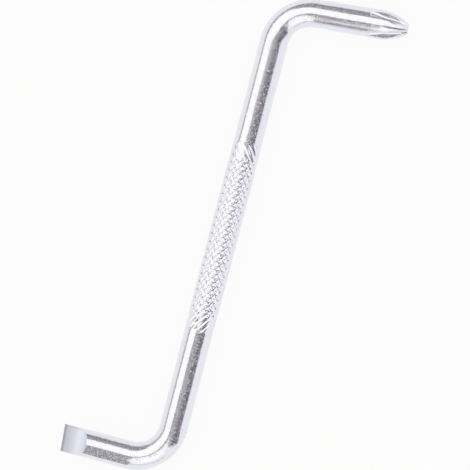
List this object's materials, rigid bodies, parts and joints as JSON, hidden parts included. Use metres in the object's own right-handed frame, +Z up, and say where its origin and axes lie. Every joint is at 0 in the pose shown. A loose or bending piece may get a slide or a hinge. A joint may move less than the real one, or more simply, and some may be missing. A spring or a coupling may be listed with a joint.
{
  "type": "offset screwdriver",
  "caption": "Offset screwdriver bent from round plated steel bar, with a ground slotted blade, a fluted cross point and a diamond-knurled grip.",
  "frame": {"origin": "under the middle of the tool's bounding box, on the flat surface that it lies on", "axes": "+Z up, square to the plane in which the bar is bent; +Y along the shank, towards the cross end; +X the side that the cross arm leaves to, while the slotted arm leaves towards -X"},
  "size_m": [0.0496, 0.1088, 0.0062],
  "materials": {
    "plated_bar": "bright nickel-chrome plate over drawn bar, faintly pitted",
    "ground_face": "fine ground steel, satin grey, thinly plated"
  },
  "bodies": {
    "root": {"slotted_blade": "ground_face", "slotted_arm": "plated_bar", "slotted_bend": "plated_bar", "slotted_shank": "plated_bar", "knurled_grip": "plated_bar", "cross_shank": "plated_bar", "cross_bend": "plated_bar", "cross_arm": "plated_bar", "cross_tip": "plated_bar"}
  },
  "joints": []
}
